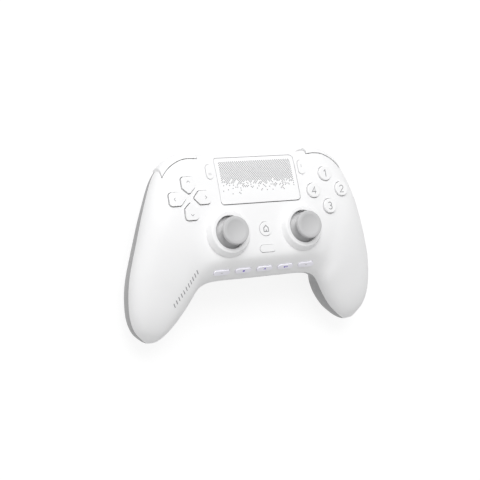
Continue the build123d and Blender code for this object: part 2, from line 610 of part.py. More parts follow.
def small_key(name, frame, shape, lip_shape, proud):
    """A small key: its top repeats the skin, a lip inside keeps it in, and it slides along its frame."""
    lip_top = -WALL - KEY_ROOM
    key = prism(frame, shape, lip_top, 2 * WALL) & form.moved(Location(frame.z_dir * proud))
    key += prism(frame, lip_shape, lip_top - KEY_LIP_THICKNESS, lip_top) & core
    pieces[name] = key
    front_cuts.append(prism(frame, offset(shape, KEY_GAP), -WALL * 2, OVERRUN))
    joint(name, frame.origin, frame.z_dir * -1)
    return lip_top - KEY_LIP_THICKNESS - SWITCH_ROOM


def flat_keys():
    """Home, profile and menu keys on the face; returns the switches that stand on the middle frame."""
    switches = []
    down = -FRAME_DEPTH

    def switch(frame, height):
        spot = Plane(origin=(frame.origin.X, frame.origin.Y, 0))
        switches.append(disc(spot, down, frame.origin.Z + height, SWITCH_RADIUS))

    frame = Plane(origin=skin(0, HOME_Y)[0])
    switch(frame, small_key("home_button", frame, Circle(HOME_RADIUS), Circle(HOME_RADIUS + KEY_LIP),
                            KEY_PROUD))
    frame = Plane(origin=skin(0, PROFILE_Y)[0])
    wide = SlotOverall(PROFILE_LENGTH + 2 * KEY_LIP, PROFILE_WIDTH + 2 * KEY_LIP)
    switch(frame, small_key("profile_button", frame, SlotOverall(PROFILE_LENGTH, PROFILE_WIDTH), wide,
                            KEY_PROUD))
    for name, side in (("left", -1), ("right", 1)):
        frame = Plane(origin=skin(side * MENU_X, MENU_Y)[0])
        upright = Rot(0, 0, 90) * SlotOverall(MENU_LENGTH, MENU_WIDTH)
        wide = Rot(0, 0, 90) * SlotOverall(MENU_LENGTH + 2 * KEY_LIP, MENU_WIDTH + 2 * KEY_LIP)
        switch(frame, small_key("menu_button_" + name, frame, upright, wide, KEY_PROUD))
    return switches


def front_keys():
    """The keys on the sloping band, their switches, and the narrow board that carries the switches."""
    normal = skin(0, KEY_Y)[1]
    across = Vector(1, 0, 0)
    reach = -WALL - KEY_ROOM - KEY_LIP_THICKNESS
    board_top = reach - SWITCH_ROOM - KEY_SWITCH_HEIGHT
    switches = []
    for k in range(-KEY_SIDE_COUNT, KEY_SIDE_COUNT + 1):
        frame = Plane(origin=skin(k * KEY_PITCH, KEY_Y)[0], x_dir=across, z_dir=normal)
        wide = SlotOverall(KEY_LENGTH + 2 * KEY_LIP, KEY_WIDTH + 2 * KEY_LIP)
        small_key(f"front_key_{k + KEY_SIDE_COUNT + 1}", frame, SlotOverall(KEY_LENGTH, KEY_WIDTH), wide,
                  FRONT_KEY_PROUD)
        depth = (frame.origin - skin(0, KEY_Y)[0]).dot(normal)
        switches.append(disc(frame, board_top - depth, reach - SWITCH_ROOM, SWITCH_RADIUS))
    middle = Plane(origin=skin(0, KEY_Y)[0], x_dir=across, z_dir=normal)
    strip = Rectangle(2 * (KEY_SIDE_COUNT * KEY_PITCH + KEY_BOARD_END), KEY_BOARD_WIDTH)
    pieces["key_board"] = prism(middle, strip, board_top - BOARD_THICKNESS, board_top)
    for k in range(-KEY_SIDE_COUNT, KEY_SIDE_COUNT):
        spot = Plane(origin=skin((k + 0.5) * KEY_PITCH, KEY_Y)[0], x_dir=across, z_dir=normal)
        depth = (spot.origin - middle.origin).dot(normal)
        front_posts.append(disc(spot, board_top - depth, -WALL / 2, KEY_POST_RADIUS))
    return switches


def touch_plate():
    """The touch plate, flush with the face and hinged at its far edge, and its sensor board."""
    width, length = 2 * TOUCH_HALF_WIDTH, TOUCH_FAR_Y - TOUCH_NEAR_Y
    frame = Plane(origin=(0, TOUCH_NEAR_Y + length / 2, 0))
    plate = prism(frame, RectangleRounded(width, length, TOUCH_CORNER), -OVERRUN / 2, OVERRUN)
    top = form.moved(Location((0, 0, -TOUCH_SUNK)))
    under = form.moved(Location((0, 0, -TOUCH_SUNK - TOUCH_THICKNESS)))
    lower = form.moved(Location((0, 0, -TOUCH_SUNK - TOUCH_THICKNESS - BOARD_THICKNESS)))
    front_half = block(-OVERRUN, OVERRUN, -OVERRUN, OVERRUN, -BOARD_DEPTH / 2, OVERRUN)
    pieces["touchpad_plate"] = (plate & top & front_half) - under
    inner = Rectangle(width - 2 * TOUCH_MARGIN, length - 2 * TOUCH_MARGIN)
    pieces["touchpad_board"] = (prism(frame, inner, -OVERRUN / 2, OVERRUN) & under & front_half) - lower
    hole = RectangleRounded(width + 2 * FIT, length + FIT + TOUCH_NEAR_GAP, TOUCH_CORNER + FIT)
    hole = Pos(0, (FIT - TOUCH_NEAR_GAP) / 2, 0) * hole
    front_cuts.append(prism(frame, hole, -BOARD_DEPTH / 2, OVERRUN))
    edge = skin(0, TOUCH_FAR_Y)[0]
    joint("touchpad", (0, TOUCH_FAR_Y, edge.Z - TOUCH_SUNK - TOUCH_THICKNESS / 2), (1, 0, 0))
    near = skin(0, TOUCH_NEAR_Y + TOUCH_MARGIN + SWITCH_RADIUS)[0]
    spot = Plane(origin=(0, near.Y, 0))
    contact = near.Z - TOUCH_SUNK - TOUCH_THICKNESS - BOARD_THICKNESS - SWITCH_ROOM - FIT
    return disc(spot, -FRAME_DEPTH, contact, SWITCH_RADIUS)


def shoulder(inset, x0, x1, low):
    """What lies beyond the right shoulder's widest line moved inward, between two x and above a height."""
    line = []
    for before, row, after in zip(rows, rows[1:], rows[2:]):
        along = Vector(after[3] - before[3], after[4] - before[4], 0).normalized()
        if BUMPER_IN / 2 < row[3] < HALF_WIDTH - WALL:
            line.append((row[3] + along.Y * inset, row[4] - along.X * inset))
    ends = [(line[-1][0], OVERRUN), (line[0][0], OVERRUN)]
    beyond = make_face([Spline(*line), Polyline(line[-1], *ends, line[0])])
    return Pos(0, 0, low) * extrude(beyond, amount=OVERRUN) & block(x0, x1, 0, OVERRUN, low, OVERRUN)


def bumper():
    """The right bumper: a piece of the body's own shell that stands a little proud of the shoulder."""
    proud = Location((0, BUMPER_PROUD, 0))
    region = shoulder(BUMPER_STRIP, BUMPER_IN, BUMPER_OUT, -BUMPER_DEPTH)
    key = ((form - hollow).moved(proud) & region).solids().sort_by(SortBy.VOLUME)[-1]
    tappet_x = BUMPER_IN + TAPPET_IN
    switch_end = FRAME_EAR_FAR_Y
    tappet = block(tappet_x, tappet_x + TAPPET_WIDTH, switch_end + SHOULDER_SWITCH_ROOM, OVERRUN,
                   -TAPPET_TOP - TAPPET_HEIGHT, -TAPPET_TOP)
    key += tappet & body_form(WALL / 2, HOLLOW_END).moved(proud)
    both("bumper", key)
    for cuts, room in ((front_cuts, BUMPER_UPPER_ROOM), (rear_cuts, BUMPER_LOWER_ROOM)):
        gap = shoulder(BUMPER_STRIP + room, BUMPER_IN - BUMPER_END_GAP, BUMPER_OUT + FIT,
                       -BUMPER_DEPTH - BUMPER_LOWER_GAP)
        cuts.extend([gap, gap.mirror(Plane.YZ)])
    joint("bumper", (BUMPER_IN, BUMPER_PIVOT_Y, -BUMPER_PIVOT_DEPTH), (-1, 0, 0))
    return block(tappet_x, tappet_x + TAPPET_WIDTH, switch_end - SHOULDER_SWITCH_LENGTH, switch_end,
                 -FRAME_DEPTH, -TAPPET_TOP)


# Places on the trigger's profile: shares of its reach forward of the pin and of its drop below it
TRIGGER_FRONT_SHARES = ((0.81, 0), (0.93, 0.33), (1, 0.7), (0.97, 0.92), (0.85, 1))
TRIGGER_BACK_SHARES = ((0.85, 1), (0.62, 0.93), (0.33, 0.62), (0.04, 0.35))


def trigger_profile():
    """The trigger seen from its end: front and tip in one curve, a hooked back, a round heel at the pin."""
    y, z = TRIGGER_PIVOT_Y, -TRIGGER_PIVOT_DEPTH
    front = [(y + u * TRIGGER_REACH, z - v * TRIGGER_DROP) for u, v in TRIGGER_FRONT_SHARES]
    back = [(y + u * TRIGGER_REACH, z - v * TRIGGER_DROP) for u, v in TRIGGER_BACK_SHARES]
    heel = y - TRIGGER_HEEL
    top = (front[0][0], -TRIGGER_TOP_DEPTH)
    lines = [Spline(*front), Spline(*back), Line(back[-1], (heel, z)), Line((heel, z), (heel, top[1])),
             Line((heel, top[1]), top), Line(top, front[0])]
    return make_face(lines)


def trigger():
    """The right trigger on its pin, in a bay of the rear shell that is open at the front and below."""
    y, z = TRIGGER_PIVOT_Y, -TRIGGER_PIVOT_DEPTH
    side = Plane(origin=(0, 0, 0), x_dir=(0, 1, 0), z_dir=(1, 0, 0))
    body = extrude(side.offset(TRIGGER_IN) * trigger_profile(), amount=TRIGGER_OUT - TRIGGER_IN)

    def plan(depth, shrink, lean, corner):
        out, front = TRIGGER_OUT - shrink, TRIGGER_FRONT_Y + lean
        face = make_face(Polyline([(TRIGGER_IN, -BODY_LENGTH), (out, -BODY_LENGTH), (out, front),
                                   (TRIGGER_IN, front)], close=True))
        corner = min(corner, (out - TRIGGER_IN) * CORNER_LIMIT_SHARE)
        face = fillet(face.vertices().group_by(Axis.X)[-1].sort_by(Axis.Y)[-1], corner)
        return Pos(0, 0, -depth) * face

    top = plan(TRIGGER_TOP_DEPTH, 0, 0, TRIGGER_CORNER)
    tip = plan(TRIGGER_PIVOT_DEPTH + TRIGGER_DROP, TRIGGER_TAPER, TRIGGER_LEAN, TRIGGER_TIP_CORNER)
    body &= loft([top, tip])
    body -= bar_x(0, OVERRUN, y, z, TRIGGER_PIN_RADIUS + SNUG)
    both("trigger", body)
    both("trigger_pin", bar_x(BAY_IN - BAY_WALL + FIT, BAY_OUT + BAY_WALL - FIT, y, z, TRIGGER_PIN_RADIUS))

    inner, outer = TRIGGER_PIN_RADIUS + SNUG, TRIGGER_PIN_RADIUS + SNUG + SPRING_WIRE
    x0 = BAY_IN + FIT / 2
    spring = bar_x(x0, x0 + SPRING_LENGTH, y, z, outer) - bar_x(0, OVERRUN, y, z, inner)
    spring += block(x0, x0 + SPRING_WIRE, y - outer, y - inner, z, z + SPRING_WIRE * 2)
    spring += block(x0, x0 + SPRING_WIRE, y + inner, y + outer, z - SPRING_LEG, z)
    both("trigger_spring", spring)

    def bay(back, low):
        points = [(back, -low), (back, z - BAY_KINK_DROP), (back + BAY_KNEE, z - BAY_KNEE_DROP),
                  (back + BAY_KNEE, -OVERRUN), (OVERRUN, -OVERRUN), (OVERRUN, -low)]
        return make_face(Polyline(points, close=True))

    space = extrude(side.offset(BAY_IN) * bay(BAY_BACK_Y, -OVERRUN), amount=BAY_OUT - BAY_IN)
    walls = extrude(side.offset(BAY_IN - BAY_WALL) * bay(BAY_BACK_Y - BAY_WALL, BUMPER_DEPTH - BAY_ROOF),
                    amount=BAY_OUT - BAY_IN + 2 * BAY_WALL)
    space &= block(0, OVERRUN, -OVERRUN, OVERRUN, -OVERRUN, -BUMPER_DEPTH)
    bores = bar_x(BAY_IN - BAY_WALL * 2, BAY_OUT + BAY_WALL * 2, y, z, TRIGGER_PIN_RADIUS)
    for piece in (walls, walls.mirror(Plane.YZ)):
        rear_ribs.append(piece)
    for piece in (space, bores):
        rear_cuts.append(piece)
        rear_cuts.append(piece.mirror(Plane.YZ))
    joint("trigger", (BAY_IN, y, z), (-1, 0, 0))


def middle_frame(seats_post):
    """A plate behind the keys: tilted seats for the mats, holes for the domes, legs on the main board."""
    low, top = -FRAME_DEPTH - FRAME_THICKNESS, -FRAME_DEPTH
    plate = block(-FRAME_HALF_WIDTH, FRAME_HALF_WIDTH, FRAME_NEAR_Y, FRAME_FAR_Y, low, top)
    plate += block(-FRAME_STRIP_HALF, FRAME_STRIP_HALF, FRAME_STRIP_NEAR_Y, FRAME_NEAR_Y, low, top)
    for side in (-1, 1):
        plate += block(side * FRAME_EAR_IN, side * FRAME_EAR_OUT, FRAME_NEAR_Y, FRAME_EAR_FAR_Y, low, top)
    plate &= core
    frame = cluster_frame()
    seat_top = -MAT_DEPTH - MAT_THICKNESS
    room = disc(frame, seat_top, OVERRUN, MAT_RADIUS + FIT)
    seat = disc(frame, seat_top - SEAT_HEIGHT, seat_top, MAT_RADIUS)
    plate = plate.cut(room, room.mirror(Plane.YZ)).fuse(seat, seat.mirror(Plane.YZ), seats_post)
    for side in (-1, 1):
        plate -= Pos(side * STICK_X, STICK_Y, 0) * Cylinder(DOME_ROOM_RADIUS, OVERRUN)
        for x, y in (place("near_leg"), place("far_leg")):
            plate += disc(Plane(origin=(side * x, y, 0)), -BOARD_DEPTH, low, LEG_RADIUS)
    pieces["mid_frame"] = plate


def near_edge(depth):
    """Where the body's edge at the player's side lies in the middle, at a depth below the face."""
    along = Axis((0, -OVERRUN, -depth), (0, 1, 0))
    return min(point.Y for point, _ in form.find_intersection_points(along))


def boards_and_battery():
    """The main board on four pillars of the rear shell, and the battery in its tray."""
    low = -BOARD_DEPTH - MAIN_BOARD_THICKNESS
    board = block(-BOARD_HALF_WIDTH, BOARD_HALF_WIDTH, BOARD_NEAR_Y, BOARD_MIDDLE_Y, low, -BOARD_DEPTH)
    board += block(-BOARD_FAR_HALF_WIDTH, BOARD_FAR_HALF_WIDTH, BOARD_MIDDLE_Y, BOARD_FAR_Y, low,
                   -BOARD_DEPTH)
    pieces["main_board"] = board & core
    for side in (-1, 1):
        for _, y in (place("near_pillar"), place("far_pillar")):
            rear_ribs.append(disc(Plane(origin=(side * PILLAR_X, y, 0)), -OVERRUN, low, PILLAR_RADIUS))
    room, rim = FIT / 2, FIT / 2 + TRAY_RIB
    x, far, bottom = BATTERY_LENGTH / 2, BATTERY_FAR_Y, -TRAY_DEPTH
    jack_end = near_edge(JACK_DEPTH) + JACK_SET_BACK + JACK_NOSE_LENGTH + JACK_LENGTH
    near = jack_end + BATTERY_JACK_GAP + rim
    battery = block(-x, x, near, far, bottom, bottom + BATTERY_HEIGHT)
    pieces["battery"] = fillet(battery.edges().filter_by(Axis.Z), BATTERY_ROUND)
    tray = block(-x - rim, x + rim, near - rim, far + rim, -OVERRUN, bottom + TRAY_LIP)
    tray -= block(-x - room, x + room, near - room, far + room, bottom, 0)
    tray -= block(TRAY_RIB - x, x - TRAY_RIB, near + TRAY_RIB, far - TRAY_RIB, -OVERRUN, 0)
    rear_ribs.append(tray)


def vibration_motor():
    """A motor along X on two webs of the rear shell, with an eccentric weight on its inner end."""
    half = MOTOR_LENGTH / 2
    motor = bar_x(MOTOR_X - half, MOTOR_X + half, MOTOR_Y, -MOTOR_DEPTH, MOTOR_RADIUS)
    motor = fillet(motor.edges(), MOTOR_ROUND)
    bore_end = MOTOR_X - half + WEIGHT_THICKNESS
    motor -= bar_x(MOTOR_X - half, bore_end, MOTOR_Y, -MOTOR_DEPTH, MOTOR_SHAFT_RADIUS + SNUG)
    both("rumble_motor", motor)
    for x in (MOTOR_X - half + CRADLE_WEB, MOTOR_X + half - 2 * CRADLE_WEB):
        web = block(x, x + CRADLE_WEB, MOTOR_Y - CRADLE_HALF_WIDTH, MOTOR_Y + CRADLE_HALF_WIDTH, -OVERRUN,
                    -MOTOR_DEPTH - CRADLE_TOP)
        web -= bar_x(0, OVERRUN, MOTOR_Y, -MOTOR_DEPTH, MOTOR_RADIUS + SNUG)
        rear_ribs.extend([web, web.mirror(Plane.YZ)])
    end = MOTOR_X - half - WEIGHT_GAP
    weight = bar_x(end - WEIGHT_THICKNESS, end, MOTOR_Y, -MOTOR_DEPTH, WEIGHT_RADIUS)
    weight &= block(0, OVERRUN, -OVERRUN, OVERRUN, -OVERRUN, -MOTOR_DEPTH)
    weight += bar_x(end - WEIGHT_THICKNESS, end, MOTOR_Y, -MOTOR_DEPTH, WEIGHT_HUB_RADIUS)
    weight += bar_x(end - WEIGHT_THICKNESS, bore_end - FIT, MOTOR_Y, -MOTOR_DEPTH, MOTOR_SHAFT_RADIUS)
    both("rumble_weight", weight)
    joint("rumble", (end, MOTOR_Y, -MOTOR_DEPTH), (1, 0, 0))


def sockets():
    """Headset socket at the player's edge, under the main board, and charging socket at the far edge."""
    under_board = -BOARD_DEPTH - MAIN_BOARD_THICKNESS
    start = near_edge(JACK_DEPTH) + JACK_SET_BACK
    axis = Plane(origin=(0, start, -JACK_DEPTH), x_dir=(1, 0, 0), z_dir=(0, 1, 0))
    y0 = start + JACK_NOSE_LENGTH
    jack = block(-JACK_HALF_WIDTH, JACK_HALF_WIDTH, y0, y0 + JACK_LENGTH,
                 under_board - 2 * JACK_HALF_HEIGHT, under_board)
    jack += disc(axis, 0, JACK_NOSE_LENGTH, JACK_NOSE_RADIUS)
    jack -= disc(axis, -WALL, JACK_BORE_LENGTH, JACK_BORE / 2)
    pieces["headset_jack"] = jack
    rear_cuts.append(disc(axis, -OVERRUN, JACK_NOSE_LENGTH, JACK_NOSE_RADIUS + SNUG))
    joint("headset_jack", axis.origin, (0, -1, 0))

    middle = -BOARD_DEPTH + PORT_HEIGHT / 2
    along = Axis((0, OVERRUN, middle), (0, -1, 0))
    edge = max(point.Y for point, _ in form.find_intersection_points(along)) - PORT_SET_BACK
    face = Plane(origin=(0, edge, middle), x_dir=(1, 0, 0), z_dir=(0, -1, 0))
    port = prism(face, RectangleRounded(PORT_WIDTH, PORT_HEIGHT, PORT_CORNER), 0, PORT_LENGTH)
    inner = RectangleRounded(PORT_WIDTH - 2 * PORT_WALL, PORT_HEIGHT - 2 * PORT_WALL, PORT_CORNER - PORT_WALL)
    port -= prism(face, inner, 0, PORT_LENGTH - PORT_TONGUE)
    tongue = Rectangle(PORT_WIDTH - 2 * PORT_CORNER, PORT_TONGUE)
    port += prism(face, tongue, PORT_TONGUE, PORT_LENGTH - PORT_TONGUE / 2)
    pieces["usb_port"] = port
    mouth = RectangleRounded(PORT_WIDTH + 2 * SNUG, PORT_HEIGHT + 2 * SNUG, PORT_CORNER + SNUG)
    for cuts in (front_cuts, rear_cuts):
        cuts.append(prism(face, mouth, -OVERRUN, PORT_LENGTH))
    joint("usb_port", face.origin, (0, 1, 0))


def shell_screws():
    """Four screws from below into posts of the front shell, each in a deep boss of the rear shell."""
    screws = []
    for x, y, depth in (place("upper_screw"), place("lower_screw")):
        post_end = skin(x, y)[0].Z - depth
        seat = post_end - SEAM_GAP - SCREW_SEAT
        spot = Plane(origin=(x, y, 0))
        screw = disc(spot, seat - SCREW_HEAD_HEIGHT, seat, SCREW_HEAD_RADIUS)
        screw -= block(x - SCREW_HEAD_RADIUS, x + SCREW_HEAD_RADIUS, y - SCREW_SLOT / 2, y + SCREW_SLOT / 2,
                       seat - SCREW_HEAD_HEIGHT, seat - SCREW_HEAD_HEIGHT + SCREW_SLOT)
        screw += disc(spot, seat - SCREW_SLOT, post_end + SCREW_BITE, SCREW_RADIUS)
        post = disc(spot, post_end, skin(x, y)[0].Z - WALL / 2, POST_RADIUS) & body_form(WALL / 2, HOLLOW_END)
        post -= disc(spot, post_end, post_end + SCREW_BITE, SCREW_RADIUS)
        boss = disc(spot, -OVERRUN, post_end - SEAM_GAP, POST_RADIUS)
        screws += [screw, screw.mirror(Plane.YZ)]
        for piece, group in ((post, front_posts), (boss, rear_ribs),
                             (disc(spot, -OVERRUN, seat, SCREW_HEAD_RADIUS + FIT / 2), rear_cuts),
                             (disc(spot, -OVERRUN, post_end, SCREW_RADIUS + FIT / 2), rear_cuts)):
            group.extend([piece, piece.mirror(Plane.YZ)])
    pieces["shell_screws"] = Compound(screws)


thumb_stick()
face_buttons()
pad_post = direction_pad()
plate_switches = flat_keys() + [touch_plate()]
pieces["dome_switches"] = Compound(plate_switches)
pieces["key_switches"] = Compound(front_keys())
shoulder_switch = bumper()
pieces["bumper_switches"] = Compound([shoulder_switch, shoulder_switch.mirror(Plane.YZ)])
trigger()
middle_frame(pad_post)
boards_and_battery()
vibration_motor()
sockets()
shell_screws()

front = ((form - hollow) & upper_space).cut(*front_cuts)
pieces["front_shell"] = front.fuse(*front_posts)
rear = (form - hollow.cut(*rear_ribs)) - upper_space.moved(Location((0, 0, -SEAM_GAP)))
pieces["rear_shell"] = rear.cut(*rear_cuts)

box = Compound(list(pieces.values())).bounding_box()
to_origin = Vector(-(box.min.X + box.max.X) / 2, -(box.min.Y + box.max.Y) / 2, -box.min.Z)
os.makedirs("parts", exist_ok=True)
for name, piece in pieces.items():
    export_step(piece.moved(Location(to_origin)), f"parts/{name}.step")
for name, (point, direction) in joints.items():
    anchor = point + to_origin
    print(name, [round(value, 3) for value in anchor], [round(value, 4) for value in direction])
print("size", [round(value, 2) for value in box.size], "moved by", [round(value, 3) for value in to_origin])
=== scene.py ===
"""A white gamepad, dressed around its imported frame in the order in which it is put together."""

import bpy
import numpy as np
from mathutils import Matrix, Vector
from mathutils.bvhtree import BVHTree


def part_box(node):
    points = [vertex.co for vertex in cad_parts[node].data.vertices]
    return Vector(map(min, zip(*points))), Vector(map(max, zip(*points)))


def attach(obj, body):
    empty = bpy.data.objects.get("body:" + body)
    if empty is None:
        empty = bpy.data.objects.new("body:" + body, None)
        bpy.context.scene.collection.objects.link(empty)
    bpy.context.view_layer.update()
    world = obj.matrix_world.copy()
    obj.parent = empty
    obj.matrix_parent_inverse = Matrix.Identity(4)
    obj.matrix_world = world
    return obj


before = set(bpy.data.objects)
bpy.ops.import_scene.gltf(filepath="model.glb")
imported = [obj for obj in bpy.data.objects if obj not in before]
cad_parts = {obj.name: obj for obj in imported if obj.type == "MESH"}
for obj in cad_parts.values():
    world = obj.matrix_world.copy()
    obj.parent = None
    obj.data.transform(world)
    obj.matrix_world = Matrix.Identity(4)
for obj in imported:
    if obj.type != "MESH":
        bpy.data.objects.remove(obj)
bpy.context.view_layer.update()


# Front shell
# The upper half of the housing, injection moulded in white plastic and screwed to the rear shell from below.
# Its face has a fine spark-eroded grain, so it shines softly, without a mirror.

class Link:
    """A socket in a material's node tree; arithmetic on it adds Math nodes."""

    def __init__(self, tree, socket=None):
        self.tree = tree
        self.socket = socket

    def add(self, kind, inputs=None, settings=None, output=0):
        """Any other node: its settings first, then the values or links of its sockets."""
        node = self.tree.nodes.new("ShaderNode" + kind)
        for name, value in (settings or {}).items():
            setattr(node, name, value)
        for name, value in (inputs or {}).items():
            socket = node.inputs[name]
            if isinstance(value, Link):
                self.tree.links.new(value.socket, socket)
            else:
                socket.default_value = value
        return Link(self.tree, node.outputs[output])

    def other(self, output):
        """Another output of the same node."""
        return Link(self.tree, self.socket.node.outputs[output])

    def maths(self, operation, *values):
        """A Math node on links or numbers."""
        return self.add("Math", dict(enumerate(values)), {"operation": operation})

    def __add__(self, other):
        return self.maths("ADD", self, other)

    __radd__ = __add__

    def __sub__(self, other):
        return self.maths("SUBTRACT", self, other)

    def __rsub__(self, other):
        return self.maths("SUBTRACT", other, self)

    def __mul__(self, other):
        return self.maths("MULTIPLY", self, other)

    __rmul__ = __mul__

    def __truediv__(self, other):
        return self.maths("DIVIDE", self, other)

    def __lt__(self, other):
        return self.maths("LESS_THAN", self, other)

    def __gt__(self, other):
        return self.maths("GREATER_THAN", self, other)

    def __abs__(self):
        return self.maths("ABSOLUTE", self)

    def rounded(self):
        return self.maths("ROUND", self)

    def soft_step(self, low, high):
        """0 below low, 1 above high, and a straight slope between them."""
        return self.maths("MINIMUM", self.maths("MAXIMUM", (self - low) / (high - low), 0.0), 1.0)

    def as_grey(self):
        """A number on all three channels of a colour."""
        return self.add("CombineColor", {"Red": self, "Green": self, "Blue": self})


MIX_SHARE, MIX_FIRST, MIX_SECOND = 0, 6, 7       # inputs of a Mix node that mixes colours
MIX_RESULT = 2                                   # its output
WIDE_BLOTCH, SMALL_BLOTCH = 0.03, 0.004          # metres over which the colour wanders
GLOSS_BLOTCH = 0.012                             # metres over which the gloss wanders
GLOSS_SPREAD = 0.06
COAT_ROUGHNESS = 0.2


def rgb(red, green=None, blue=None):
    """A colour with its alpha; one number alone gives a grey."""
    green = red if green is None else green
    blue = red if blue is None else blue
    return (red, green, blue, 1.0)


def mixed_colour(share, first, second, blend="MIX"):
    """The first colour, which is a link, where share is 0, and the second, or with MULTIPLY the product of
    both, where share is 1."""
    return first.add("Mix", {MIX_SHARE: share, MIX_FIRST: first, MIX_SECOND: second},
                     {"data_type": "RGBA", "blend_type": blend}, output=MIX_RESULT)


def mottle(place, size, depth):
    """Smooth noise about 1: blotches of a size in metres, with a depth to each side."""
    noise = place.add("TexNoise", {"Vector": place, "Scale": 1 / size, "Detail": 3.0})
    return (noise - 0.5) * (2 * depth) + 1.0


def moulded(name, colour, roughness, grain=0.00016, relief=0.000006, paint=None, coat=0.0, metallic=0.0,
            mottling=0.02):
    """Moulded plastic: colour and gloss wander a little, and a fine grain from the mould stands in the
    normal. paint changes the colour at a place where something is printed on it."""
    made = bpy.data.materials.new(name)
    made.use_nodes = True
    shader = made.node_tree.nodes["Principled BSDF"]
    place = Link(made.node_tree).add("TexCoord", output="Object")
    tone = mottle(place, WIDE_BLOTCH, mottling) * mottle(place, SMALL_BLOTCH, mottling / 3)
    base = mixed_colour(1.0, tone.as_grey(), rgb(*colour), "MULTIPLY")
    if paint:
        base = paint(place, base)
    gloss = mottle(place, GLOSS_BLOTCH, GLOSS_SPREAD) * roughness
    height = place.add("TexNoise", {"Vector": place, "Scale": 1 / grain, "Detail": 2.0})
    bump = place.add("Bump", {"Height": height, "Strength": 1.0, "Distance": relief})
    link = place.tree.links.new
    link(base.socket, shader.inputs["Base Color"])
    link(gloss.socket, shader.inputs["Roughness"])
    link(bump.socket, shader.inputs["Normal"])
    shader.inputs["Metallic"].default_value = metallic
    shader.inputs["Coat Weight"].default_value = coat
    shader.inputs["Coat Roughness"].default_value = COAT_ROUGHNESS
    return made


def dress(finish, *names):
    """Gives CAD nodes their material."""
    for name in names:
        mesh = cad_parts[name].data
        mesh.materials.clear()
        mesh.materials.append(finish)


WHITE = (0.92, 0.92, 0.925)
dress(moulded("white_satin_shell", WHITE, roughness=0.42), "front_shell")


# Grip marks
# A plain row of grey strokes on the left grip, pad printed and sealed.
# Each stroke is a thin film that lies in the surface.

MM = 0.001               # metres
FILM = 0.03              # mm that a print stands out of the surface, and is sunk into it
PLUMB_HEIGHT = 0.2       # metres, above the whole part
CORNER_LIMIT = 0.5       # a line's corner is stretched to twice the half width at most
plumb_trees = {}


def landing(node, x, y):
    """Where a plumb line at (x, y) in metres meets a CAD node from above: the point and its normal."""
    if node not in plumb_trees:
        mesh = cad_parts[node].data
        corners = [vertex.co for vertex in mesh.vertices]
        faces = [tuple(polygon.vertices) for polygon in mesh.polygons]
        plumb_trees[node] = BVHTree.FromPolygons(corners, faces)
    point, normal, _, _ = plumb_trees[node].ray_cast(Vector((x, y, PLUMB_HEIGHT)), Vector((0, 0, -1)))
    return point, normal if normal.z > 0 else -normal


def arc(x, y, radius, start, end, count=18):
    """Points on a circle about (x, y), from one angle to another in degrees."""
    angle = np.radians(np.linspace(start, end, count))
    return np.stack([x + radius * np.cos(angle), y + radius * np.sin(angle)], 1)


def stroke(points, width, closed=False):
    """A line of a width along flat points: each point is moved half the width to each side, along the
    bisector of its two neighbours, and by more where the line turns a corner."""
    points = np.asarray(points, float)
    if closed:
        before, after = np.roll(points, 1, 0), np.roll(points, -1, 0)
    else:
        before = np.concatenate([2 * points[:1] - points[1:2], points[:-1]])
        after = np.concatenate([points[1:], 2 * points[-1:] - points[-2:-1]])
    come = points - before
    go = after - points
    come /= np.linalg.norm(come, axis=1, keepdims=True)
    go /= np.linalg.norm(go, axis=1, keepdims=True)
    along = come + go
    along /= np.linalg.norm(along, axis=1, keepdims=True)
    side = np.stack([-along[:, 1], along[:, 0]], 1)
    stretch = 1 / np.maximum((along * go).sum(1), CORNER_LIMIT)
    half = side * (width / 2 * stretch)[:, None]
    return points + half, points - half, closed


def film(name, body, marks, finish):
    """One piece from flat marks. Each mark is (place on a node, normal, turn in degrees, strokes in mm).
    A stroke becomes a closed strip of four rows of points: two on top and two sunk into the surface."""
    corners, faces = [], []
    count = 0
    for point, normal, turn, strokes in marks:
        across = Vector((1, 0, 0))
        across = (across - normal * across.dot(normal)).normalized()
        across = Matrix.Rotation(np.radians(turn), 3, normal) @ across
        basis = np.array([across, normal.cross(across), normal])
        for left, right, closed in strokes:
            rows = [(right, FILM), (left, FILM), (left, -FILM), (right, -FILM)]
            strip = np.concatenate([np.column_stack([row, np.full(len(row), height)])
                                    for row, height in rows])
            corners.append(strip * MM @ basis + np.array(point))
            grid = count + np.arange(len(strip)).reshape(4, -1)
            count += len(strip)
            here, ahead = grid, np.roll(grid, -1, 1)
            if not closed:
                here, ahead = here[:, :-1], ahead[:, :-1]
            sides = [here, ahead, np.roll(ahead, -1, 0), np.roll(here, -1, 0)]
            faces.append(np.stack(sides, -1).reshape(-1, 4))
            if not closed:
                faces.append(np.array([grid[:, 0], grid[::-1, -1]]))
    mesh = bpy.data.meshes.new(name)
    mesh.from_pydata(np.concatenate(corners).tolist(), [], np.concatenate(faces).tolist())
    mesh.materials.append(finish)
    piece = bpy.data.objects.new(name, mesh)
    bpy.context.scene.collection.objects.link(piece)
    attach(piece, body)


def ink(name, colour):
    """Printing ink: smoother than the plastic and a little more uneven in its colour."""
    return moulded(name, colour, roughness=0.5, grain=0.0002, relief=0.000003, mottling=0.04)


FIRST_TICK, LAST_TICK = (-57.4, -33.9), (-44.0, -16.9)       # mm, near the player and far from them
TICKS = 11
TICK_TURN = -67
TICK_REACH = 1.36                                            # mm to each side of its middle
TICK_WIDTH = 0.55
tick = stroke([(-TICK_REACH, 0), (TICK_REACH, 0)], TICK_WIDTH)
ticks = [(*landing("front_shell", x, y), TICK_TURN, [tick])
         for x, y in np.linspace(FIRST_TICK, LAST_TICK, TICKS) * MM]
film("grip_ticks", "body", ticks, ink("grey_ink", (0.30, 0.30, 0.31)))


# Rear shell
# The lower half of the housing, in grey plastic, with the ribs, the trays and the screw bosses inside.
# Its grain is coarser than the face's, so that the fingers hold.

